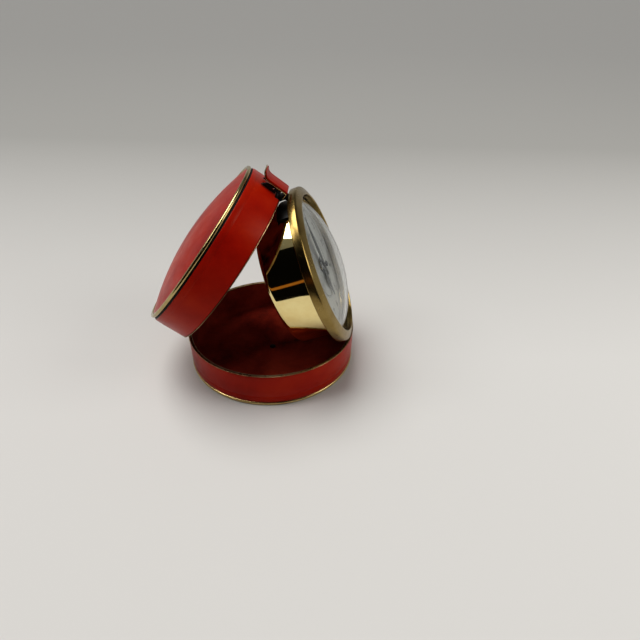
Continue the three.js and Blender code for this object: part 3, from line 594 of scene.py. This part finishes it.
def makeCaseHinge():
    s = hingeSizes
    outer = [(-s["half"], -s["split"] - s["play"]), (s["split"] + s["play"], s["half"])]
    atRim = Matrix.Translation((0, 0, baseHeight * mm))
    lidSide = lidPlace @ Matrix.Translation((0, 0, -0.1 * mm))
    hingeLeaf(outer, -0.6, atRim, "base", "caseHingeBaseLeaf", "case_hinge_base_leaf", -1)
    hingeLeaf([(-s["split"], s["split"])], 0.6, lidSide, "lid", "caseHingeLidLeaf", "case_hinge_lid_leaf", 1)
    pin = rod(s["pin"], (s["axis"], -s["half"] - 0.1, 0), (s["axis"], s["half"] + 0.1, 0), 32)
    ends = [rod(0.72, (s["axis"], y, 0), (s["axis"], y + side * 0.38, 0), 32, 0.14)
            for y, side in ((s["half"] + 0.05, 1), (-s["half"] - 0.05, -1))]
    finishPiece(joined([pin, *ends]), "caseHingePin", atRim, "wornBrass", "base", ["case_hinge_pin"])


makeCaseHinge()
print("case hinge ready")

# lid, drawn from its rim with Z into the dome
lidSizes = dict(wallLow=0.36, wallTop=12.94, seam=10.2, notchHalf=4.7, notchDepth=2.3, ringMiddle=33.85,
                ringRadius=0.74, domeEdge=32.9)


def domeLine(edge, low, rise, steps, power=2.0):
    return [(edge * (steps - k) / steps, low + rise * (1 - ((steps - k) / steps) ** power))
            for k in range(steps + 1)]


def makeLid():
    s = lidSizes
    depth, rise = caseSizes["lidDepth"], caseSizes["domeRise"]

    def notch():
        return boxCutter((31, -s["notchHalf"], -1), (38, s["notchHalf"], s["notchDepth"]))

    band = turn([(r - 0.6, s["wallLow"]), (r - 0.2, s["wallLow"]), (r - 0.03, 0.62), (r, 1.1),
                 (r - 0.12, s["seam"] - 0.4), (r - 0.19, s["seam"]), (r - 0.22, s["seam"] + 0.22),
                 (r - 0.18, s["seam"] + 0.5), (r - 0.28, 12.2), (r - 0.42, s["wallTop"] - 0.12),
                 (r - 0.6, s["wallTop"])], soften=0.06, steps=160)
    cutAway(band, notch())
    finishPiece(band, "lidLeatherBand", lidPlace, "redLeather", "lid", ["lid_leather_band"])
    trim = turn([(r - 1.2, 0.1), (r - 1.0, 0.0), (r - 0.25, 0.0), (r, 0.04), (r + 0.1, 0.15),
                 (r + 0.02, 0.28), (r - 0.55, 0.3), (r - 1.2, 0.3)], soften=0.04, steps=160)
    cutAway(trim, notch())
    finishPiece(trim, "lidRimTrim", lidPlace, "edgeBrass", "lid", ["lid_rim_trim"])
    middle, wire, high = s["ringMiddle"], s["ringRadius"], depth + 1.15
    ring = turn([(middle + wire * math.cos(a), high + wire * math.sin(a))
                 for a in [2 * math.pi * k / 20 for k in range(20)]], soften=0, steps=160)
    finishPiece(ring, "lidDomeRing", lidPlace, "ringBrass", "lid", ["lid_dome_ring"])
    # The black steel plate under the dome ring fills the gap between the ring and the wall, so the gap
    # renders black: painted shade for the shadow line there.
    edge = turn([(r - 0.75, s["wallTop"] - 0.3), (r - 0.75, depth + 0.35), (r - 2.2, depth + 0.7),
                 (r - 2.2, depth + 0.4), (r - 1.05, depth + 0.05), (r - 1.05, s["wallTop"] - 0.3)],
                soften=0.03, steps=128)
    finishPiece(edge, "lidDomePlate", lidPlace, "blackSteel", "lid", ["lid_dome_plate"])
    top = domeLine(s["domeEdge"], depth + 1.5, rise, 14)
    panel = turn([(0, depth + 0.9 + rise), *reversed(domeLine(s["domeEdge"], depth + 1.0, rise, 14)[:-1]),
                  *top], closed=False, steps=128, soften=0)
    finishPiece(panel, "lidDomePanel", lidPlace, "redLeather", "lid", ["lid_dome_panel"])
    inside = domeLine(33.2, depth - 0.8, rise - 0.2, 12)
    lining = turn([*reversed(inside), (33.6, depth - 1.6), (33.6, 0.6), (33.65, 0.5), (33.9, 0.5),
                   (33.9, depth - 0.6), *domeLine(33.4, depth - 0.5, rise - 0.25, 12)], closed=False,
                  steps=128, soften=0)
    cutAway(lining, notch())
    finishPiece(lining, "lidLining", lidPlace, "wineLining", "lid", ["lid_lining"])


makeLid()
print("lid ready")

# latch
latchSizes = dict(half=3.5, pivotX=36.4, pivotZ=4.2, tabIn=37.3, plate=0.35, hook=-0.8, lip=9.6, slot=2.4,
                  turns=7, wire=0.2, coil=0.58)


# outline: (depth below the rim, distance from the lid's axis) in mm
def acrossLid(outline, low, high, soften=0.08, segments=2):
    return thicken([(x, low, z) for z, x in outline], (0, high - low, 0), soften, segments)


def makeLatch():
    s = latchSizes
    wall = r + 0.06
    bracket = acrossLid([(2.75, wall), (8.95, wall), (8.95, wall + 0.38), (2.75, wall + 0.38)], -3.2, 3.2)
    for low, high in ((2.55, 3.2), (-3.2, -2.55)):
        ear = acrossLid([(s["pivotZ"] - 1.45, wall), (s["pivotZ"] + 4.6, wall),
                         (s["pivotZ"] + 3.2, s["pivotX"] + 0.2), (s["pivotZ"] + 0.9, s["pivotX"] + 0.72),
                         (s["pivotZ"] - 0.8, s["pivotX"] + 0.72), (s["pivotZ"] - 1.4, s["pivotX"] + 0.3)],
                        low, high)
        bracket = joined([bracket, ear])
    cutAway(bracket, rod(0.4, (s["pivotX"], -5, s["pivotZ"]), (s["pivotX"], 5, s["pivotZ"]), 24, 0))
    finishPiece(bracket, "latchBracket", lidPlace, "blackSteel", "lid", ["latch_bracket"])
    pin = rod(0.34, (s["pivotX"], -3.25, s["pivotZ"]), (s["pivotX"], 3.25, s["pivotZ"]), 24)
    finishPiece(pin, "latchPin", lidPlace, "plainSteel", "lid", ["latch_pin"])

    deselectAll()
    turns = s["turns"]
    coilPoints = [(s["pivotX"] + s["coil"] * math.cos(a), -2.3 + 4.6 * a / (2 * math.pi * turns),
                   s["pivotZ"] + s["coil"] * math.sin(a))
                  for a in [2 * math.pi * turns * k / 168 for k in range(169)]]
    coilPoints = [(wall + 0.5, -2.3, 8.4), (s["pivotX"] - 0.6, -2.3, 5.2), *coilPoints,
                  (s["tabIn"] - 0.6, 2.3, 5.4), (s["tabIn"] - 0.95, 2.3, 7.6)]
    bpy.ops.curve.primitive_bezier_curve_add()
    coil = bpy.context.object
    coil.data.splines.clear()
    line = coil.data.splines.new("POLY")
    line.points.add(len(coilPoints) - 1)
    for point, spot in zip(line.points, coilPoints):
        point.co = (*[c * mm for c in spot], 1)
    coil.data.bevel_depth = s["wire"] * mm
    coil.data.bevel_resolution = 2
    coil.data.use_fill_caps = True
    bpy.ops.object.convert(target="MESH")
    finishPiece(bpy.context.object, "latchSpring", lidPlace, "blackSteel", "lid",
                ["latch_spring"])

    tabIn, out, lip, hook = s["tabIn"], s["tabIn"] + s["plate"], s["lip"], s["hook"]
    plate = acrossLid([(hook, out), (hook, r + 0.2), (hook + 0.26, r + 0.2), (hook + 0.3, tabIn - 0.2),
                       (hook + 0.5, tabIn), (lip - 2.4, tabIn), (lip - 1.2, tabIn + 0.3),
                       (lip - 0.3, tabIn + 1.0), (lip + 0.35, tabIn + 1.8), (lip + 0.75, tabIn + 2.55),
                       (lip + 0.45, tabIn + 2.7), (lip + 0.05, tabIn + 2.0), (lip - 0.55, tabIn + 1.25),
                       (lip - 1.35, tabIn + 0.65), (lip - 2.4, out)], -s["half"], s["half"])
    cutAway(plate, boxCutter((r, -s["slot"], hook - 1), (tabIn - 0.05, s["slot"], hook + 1)))
    lugs = []
    for low, high in ((1.9, 2.45), (-2.45, -1.9)):
        lug = acrossLid([(s["pivotZ"] - 0.8, tabIn + 0.1), (s["pivotZ"] + 0.8, tabIn + 0.1),
                         (s["pivotZ"] + 0.6, s["pivotX"] - 0.5), (s["pivotZ"], s["pivotX"] - 0.75),
                         (s["pivotZ"] - 0.6, s["pivotX"] - 0.5)], low, high)
        cutAway(lug, rod(0.4, (s["pivotX"], -5, s["pivotZ"]), (s["pivotX"], 5, s["pivotZ"]), 24, 0))
        lugs.append(lug)
    finishPiece(joined([plate, *lugs]), "latchPlate", lidPlace, "wornBrass", "latch",
                ["latch_plate"])

    cover = acrossLid([(hook + 0.05, out + 0.05), (hook - 0.05, out + 0.25), (hook + 0.1, out + 0.55),
                       (hook + 0.6, out + 0.68), (lip - 2.6, out + 0.7), (lip - 1.5, out + 0.95),
                       (lip - 0.75, out + 1.5), (lip - 0.2, out + 2.2), (lip + 0.1, out + 2.3),
                       (lip + 0.2, out + 2.1), (lip - 0.1, out + 1.6), (lip - 0.65, out + 1.0),
                       (lip - 1.4, out + 0.4), (lip - 2.4, out + 0.05)], -s["half"] + 0.05,
                      s["half"] - 0.05, soften=0.18, segments=3)
    finishPiece(cover, "latchLeather", lidPlace, "redLeather", "latch", ["latch_leather"])


makeLatch()
print("latch ready")

# hinge between the lid and the clock
clockHingeSizes = dict(x=33.0, z=1.0, knuckle=1.05, pin=0.45, arm=2.1, half=4.2, armFoot=28.25)
saddleSizes = dict(inner=27.36, outer=28.12, swing=18, low=-9.0, deep=5.45)


def makeClockHinge():
    s = clockHingeSizes
    bracket = thicken([(32.5, -s["half"], 2.5), (33.05, -s["half"], 2.5), (33.05, -s["half"], 8.0),
                       (32.5, -s["half"], 8.0)], (0, 2 * s["half"], 0), 0.15)
    for low, high in ((s["arm"] + 0.2, s["half"]), (-s["half"], -s["arm"] - 0.2)):
        knuckle = rod(s["knuckle"], (s["x"], low, s["z"]), (s["x"], high, s["z"]), 36, 0.1)
        cheek = thicken([(32.5, low, s["z"]), (33.1, low, s["z"]), (33.1, low, 3.0), (32.5, low, 3.0)],
                        (0, high - low, 0))
        for part in (knuckle, cheek):
            cutAway(part, rod(s["pin"] + 0.05, (s["x"], low - 1, s["z"]), (s["x"], high + 1, s["z"]), 24, 0))
        bracket = joined([bracket, knuckle, cheek])
    heads = [rod(0.7, (32.55, y, 5.6), (32.1, y, 5.6), 24, 0.18) for y in (-2.4, 2.4)]
    finishPiece(joined([bracket, *heads]), "clockHingeBracket", lidPlace, "blackSteel", "lid",
                ["clock_hinge_bracket"])
    pin = rod(s["pin"], (s["x"], -s["half"] - 0.3, s["z"]), (s["x"], s["half"] + 0.3, s["z"]), 32, 0.1)
    finishPiece(pin, "clockHingePin", lidPlace, "plainSteel", "lid", ["clock_hinge_pin"])

    top, behind, back = pivotAbove, -clockSizes["pivotBehind"], -3.5
    knuckle = rod(s["knuckle"], (-s["arm"], top, behind), (s["arm"], top, behind), 36, 0.1)
    arm = thicken([(-s["arm"], top - 1.15, behind + 0.2), (-s["arm"], top + 0.4, behind - 0.1),
                   (-s["arm"], top + 0.35, back), (-s["arm"], s["armFoot"], back),
                   (-s["arm"], s["armFoot"], back - 0.55), (-s["arm"], top - 1.6, back - 0.6),
                   (-s["arm"], top - 1.25, back - 1.1)], (2 * s["arm"], 0, 0), 0.12)
    for part in (knuckle, arm):
        cutAway(part, rod(s["pin"] + 0.05, (-5, top, behind), (5, top, behind), 24, 0))
    finishPiece(joined([knuckle, arm]), "clockHingeArm", clockPlace, "blackSteel", "clock",
                ["clock_hinge_arm"])
    c = saddleSizes
    outline = [around(c["inner"], 90 - c["swing"] + c["swing"] * k / 8) for k in range(17)]
    outline += [around(c["outer"], 90 + c["swing"] - c["swing"] * k / 8) for k in range(17)]
    saddle = thicken([(x, y, c["low"]) for x, y in outline], (0, 0, c["deep"]), 0.15)
    finishPiece(saddle, "clockHingeSaddle", clockPlace, "blackSteel", "clock",
                ["clock_hinge_saddle"])


makeClockHinge()
print("clock hinge ready")

# clock case, drawn from the bezel's front with Z out of the dial
bezelSizes = dict(outer=31.5, depth=3.45, bore=28.8, lip=27.8, lipRise=1.1, crystalEdge=27.5,
                  crystalTop=5.7, crystalThick=0.9)
cupSizes = dict(radius=27.3, wall=0.7, depth=18.9)
dialSizes = dict(radius=28.6, height=-3.0, thick=0.4, hole=2.75)


def makeClockCase():
    s, c, d = bezelSizes, cupSizes, dialSizes
    o = s["outer"]
    bezel = turn([(s["bore"], -s["depth"]), (o - 0.25, -s["depth"]), (o, -s["depth"] + 0.2), (o, -0.95),
                  (o - 0.08, -0.6), (o - 0.3, -0.28), (o - 0.75, 0.02),
                  (s["lip"] + 1.0, s["lipRise"] - 0.2), (s["lip"] + 0.6, s["lipRise"] - 0.02),
                  (s["lip"] + 0.3, s["lipRise"]), (s["lip"] + 0.06, s["lipRise"] - 0.14),
                  (s["lip"], s["lipRise"] - 0.4), (s["lip"], -2.25), (s["bore"], -2.25)], soften=0.06,
                 steps=192)
    finishPiece(bezel, "bezel", clockPlace, "brushedBrass", "clock", ["bezel"])
    edge, thick = s["crystalEdge"], s["crystalThick"]
    outside = domeLine(edge, -1.5, s["crystalTop"] + 1.5, 20, 2.2)
    inside = domeLine(edge - thick, -2.4, s["crystalTop"] + 2.4 - thick, 20, 2.2)
    crystal = turn([*reversed(inside), (edge - thick, -2.9), (s["bore"] - 0.3, -2.9),
                    (s["bore"] - 0.3, -2.35), (edge, -2.35), *outside], closed=False, steps=128, soften=0)
    finishPiece(crystal, "crystal", clockPlace, "clearCrystal", "clock", ["crystal"],
                smoothAngle=50)
    cup = turn([(0, -c["depth"]), (c["radius"] - 3.0, -c["depth"]), (c["radius"] - 1.7, -c["depth"] + 0.16),
                (c["radius"] - 0.75, -c["depth"] + 0.65), (c["radius"] - 0.18, -c["depth"] + 1.45),
                (c["radius"], -c["depth"] + 2.3), (c["radius"], -3.5), (c["radius"] - c["wall"], -3.5),
                (c["radius"] - c["wall"], -c["depth"] + 2.4), (c["radius"] - 1.9, -c["depth"] + c["wall"]),
                (0, -c["depth"] + c["wall"])], closed=False, soften=0.1, steps=192, segments=3)
    for (x, y), radius in cupHoles():
        cutAway(cup, rod(radius, (x, y, -22), (x, y, -15), 40, 0))
    finishPiece(cup, "cup", clockPlace, "polishedBrass", "clock", ["cup"])
    dial = turn([(d["hole"], d["height"] - d["thick"]), (d["radius"], d["height"] - d["thick"]),
                 (d["radius"], d["height"]), (d["radius"] - 3.2, d["height"]),
                 (d["radius"] - 3.5, d["height"] - 0.08), (d["hole"], d["height"] - 0.08)], soften=0.03)
    finishPiece(dial, "dial", clockPlace, "silveredDial", "clock", ["dial"])


# where a joint's axis meets the bezel's front plane, across the dial and up it, in mm
def centreOf(joint):
    spot = Vector(joints[joint]["pos_m"]) - dialCentre
    return spot.y / mm, spot.dot(dialUp) / mm


def cupHoles():
    return [(centreOf("time_winding"), 1.1), (centreOf("alarm_winding"), 1.1),
            (centreOf("alarm_setting_spin"), 0.8), ((0, 0), 0.85), (clockSizes["stopButton"], 1.4)]


makeClockCase()
print("clock case ready")

# printing on the dial
printSizes = dict(height=-3.0, numberRadius=19.6, numberSize=4.4, trackOut=24.0, trackIn=22.9,
                  alarmOut=13.6, alarmIn=12.8)


def makeDialPrinting():
    s = printSizes
    top = s["height"] - 0.075
    marks = []
    for minute in range(60):
        a = 90 - minute * 6
        wide, start = (0.34, s["trackIn"] - 1.1) if minute % 5 == 0 else (0.14, s["trackIn"])
        x0, y0 = around(start, a)
        x1, y1 = around(s["trackOut"], a)
        dx, dy = around(wide / 2, a + 90)
        marks.append([(x0 - dx, y0 - dy), (x1 - dx, y1 - dy), (x1 + dx, y1 + dy), (x0 + dx, y0 + dy)])
    for step in range(48):
        a = 90 - step * 7.5
        x0, y0 = around(s["alarmIn"], a)
        x1, y1 = around(s["alarmOut"], a)
        dx, dy = around(0.06, a + 90)
        marks.append([(x0 - dx, y0 - dy), (x1 - dx, y1 - dy), (x1 + dx, y1 + dy), (x0 + dx, y0 + dy)])
    pieces = []
    for mark in marks:
        pieces.append(thicken([(x, y, top) for x, y in mark], (0, 0, 0.035), 0))
    for radius in (s["trackOut"] + 0.12, s["trackIn"] - 0.02, s["alarmIn"] - 0.1):
        pieces.append(turn([(radius, top), (radius + 0.1, top), (radius + 0.1, top + 0.035),
                            (radius, top + 0.035)], soften=0, steps=128))
    finishPiece(joined(pieces), "dialTracks", clockPlace, "printedInk", "clock")
    numbers = []
    for hour in range(1, 13):
        deselectAll()
        bpy.ops.object.text_add()
        number = bpy.context.object
        number.data.body = str(hour)
        number.data.align_x = number.data.align_y = "CENTER"
        number.data.size = s["numberSize"] * mm
        number.data.extrude = 0.02 * mm
        x, y = around(s["numberRadius"], 90 - hour * 30)
        number.location = (x * mm, y * mm, (top + 0.02) * mm)
        bpy.ops.object.convert(target="MESH")
        bpy.ops.object.transform_apply(location=True, rotation=True, scale=True)
        numbers.append(bpy.context.object)
    finishPiece(joined(numbers), "dialNumbers", clockPlace, "printedInk", "clock")


makeDialPrinting()
print("dial printing ready")

# hands
# The minute and hour blades are made wide so their dark paint also covers the hands' shadows on the dial:
# partly real hands, partly painted shadow.
handLooks = dict(
    minuteHand=dict(reach=21.0, wide=2.0, tail=5.0, hub=1.5, hole=0.62, low=-1.55, angle=0, body="minutes",
                    node="minute_hand", look="blueGreyHandsAndShadow", slot="hand_paint"),
    hourHand=dict(reach=15.0, wide=2.3, tail=3.5, hub=2.0, hole=1.52, low=-2.45, angle=180, body="hours",
                  node="hour_hand", look="blueGreyHandsAndShadow", slot="hand_paint"),
    alarmHand=dict(reach=12.4, wide=0.7, tail=0.0, hub=2.7, hole=2.15, low=-2.88, angle=200,
                   body="alarm_time", node="alarm_hand", look="plainSteel", slot="steel"),
)


def makeHands():
    for name, s in handLooks.items():
        reach, wide, low = s["reach"], s["wide"], s["low"]
        outline = [(-wide * 0.4, -s["tail"]), (wide * 0.4, -s["tail"]), (wide * 0.5, 0), (wide, reach * 0.28),
                   (wide * 0.9, reach * 0.5), (0.16, reach), (-0.16, reach), (-wide * 0.9, reach * 0.5),
                   (-wide, reach * 0.28), (-wide * 0.5, 0)]
        blade = thicken([(x, y, low) for x, y in outline], (0, 0, 0.2), 0.06)
        hub = rod(s["hub"], (0, 0, low), (0, 0, low + 0.3), 48, 0.08)
        hand = joined([blade, hub])
        cutAway(hand, rod(s["hole"], (0, 0, low - 1), (0, 0, low + 1), 48, 0))
        turned = clockPlace @ Matrix.Rotation(math.radians(-s["angle"]), 4, "Z")
        finishPiece(hand, name, turned, s["look"], s["body"], [s["node"]])
    cap = turn([(0, -0.9), (1.15, -0.9), (1.15, -0.5), (0.85, -0.2), (0.3, -0.06), (0, -0.05)],
               closed=False, steps=48)
    finishPiece(cap, "handCap", clockPlace, "blueGreyHandsAndShadow", "minutes")


makeHands()
print("hands ready")

# keys and knobs behind the cup
keySizes = dict(hub=1.9, hubLow=-22.0, hubTop=-19.2, angle=16)


def makeKey(name, joint, body, node, span):
    s = keySizes
    x, y = centreOf(joint)
    hub = turn([(0, s["hubTop"]), (s["hub"], s["hubTop"]), (s["hub"], -20.1), (s["hub"] - 0.35, -20.9),
                (s["hub"] - 0.5, s["hubLow"]), (0, s["hubLow"])], closed=False, steps=48, soften=0.12)
    wings = []
    for side in (0, 180):
        outline = [(1.0, -21.5), (2.4, -21.8), (span * 0.72, -22.2), (span * 0.93, -21.95), (span, -21.45),
                   (span * 0.95, -20.7), (span * 0.75, -20.25), (2.6, -20.2), (1.0, -20.3)]
        wing = thicken([(a, -0.42, z) for a, z in outline], (0, 0.84, 0), 0.2, 3)
        turned = Matrix.Rotation(math.radians(s["angle"] + side), 4, "Z")
        useOnly(wing)
        wing.matrix_world = turned
        bpy.ops.object.transform_apply(location=True, rotation=True, scale=True)
        wings.append(wing)
    key = joined([hub, *wings])
    finishPiece(key, name, clockPlace @ Matrix.Translation((x * mm, y * mm, 0)), "polishedBrass", body,
                [node])


def makeKnob(name, spot, body, node, teeth=24, radius=2.3):
    x, y = spot
    ring = [around(radius - (0.14 if k % 2 else 0), 180 * k / teeth, -21.1) for k in range(2 * teeth)]
    knob = thicken(ring, (0, 0, 1.75), 0.05)
    cap = turn([(0, -21.1), (radius - 0.5, -21.1), (radius - 0.7, -21.45), (0, -21.5)], closed=False,
               steps=48)
    finishPiece(joined([knob, cap]), name, clockPlace @ Matrix.Translation((x * mm, y * mm, 0)),
                "wornBrass", body, [node])


makeKey("timeKey", "time_winding", "time_winder", "time_key", 7.0)
makeKey("alarmKey", "alarm_winding", "alarm_winder", "alarm_key", 5.2)
makeKnob("timeSetKnob", (0, 0), "minutes", "time_set_knob")
makeKnob("alarmSetKnob", centreOf("alarm_setting_spin"), "alarm_setting", "alarm_set_knob")


def makeStopButton():
    button = turn([(0, -20.4), (0.9, -20.4), (1.15, -20.25), (1.25, -19.9), (1.25, -17.2), (1.9, -17.2),
                   (1.9, -16.4), (0, -16.4)], closed=False, steps=48)
    x, y = clockSizes["stopButton"]
    place = clockPlace @ Matrix.Translation((x * mm, y * mm, 0))
    finishPiece(button, "alarmStopButton", place, "wornBrass", "stop", ["alarm_stop_button"])


makeStopButton()
print("keys and knobs ready")

# the rest of the movement keeps its solids and gets its finish
nodeLooks = dict(red_leather="redLeather", lining="wineLining", brass="innerBrass", aged_brass="innerBrass",
                 pressed_brass="edgeBrass", black_steel="blackSteel", steel="plainSteel", dial="silveredDial",
                 crystal="clearCrystal", hand_paint="blueGreyHandsAndShadow")
slotOf = {part["node"]: part["material_slot"] for part in frame["record"]["subparts"]}
for nodeName, node in frame["nodes"].items():
    node.data.materials.clear()
    node.data.materials.append(looks[nodeLooks[slotOf[nodeName]]])
print("movement ready")
